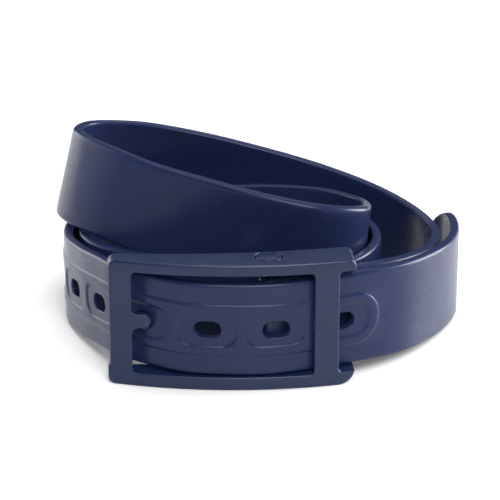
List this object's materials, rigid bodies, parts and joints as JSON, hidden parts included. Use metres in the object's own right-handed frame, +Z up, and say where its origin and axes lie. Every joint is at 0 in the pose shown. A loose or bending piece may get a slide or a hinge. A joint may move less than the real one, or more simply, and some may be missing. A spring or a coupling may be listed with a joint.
{
  "type": "dive weight belt",
  "caption": "Moulded rubber strap coiled on its edge and fastened through a bowed frame buckle, with a prong in one of its slotted holes and the free end under a keeper bar.",
  "frame": {"origin": "bottom centre of the whole belt, on the floor it stands on", "axes": "+Z up, +X along the buckle from the prong bar to the keeper bar, -Y out of the buckle's front face"},
  "size_m": [0.2234, 0.1767, 0.1012],
  "materials": {
    "strap_rubber": "satin moulded navy rubber",
    "buckle_plastic": "matte moulded navy plastic",
    "post_steel": "satin stainless steel"
  },
  "bodies": {
    "belt": {"strap": "strap_rubber", "binding_post_upper": "post_steel", "binding_post_lower": "post_steel", "binding_screw_upper": "post_steel", "binding_screw_lower": "post_steel"},
    "buckle": {"buckle_frame": "buckle_plastic", "cross_pin": "buckle_plastic", "pin_cap": "buckle_plastic"}
  },
  "joints": [
    {"name": "buckle_swing", "type": "hinge", "parent": "belt", "child": "buckle", "pos_m": [0.0065, -0.0744, 0.0345], "axis": [0, 0, 1], "range_deg": [-1.2, 1.9]}
  ]
}
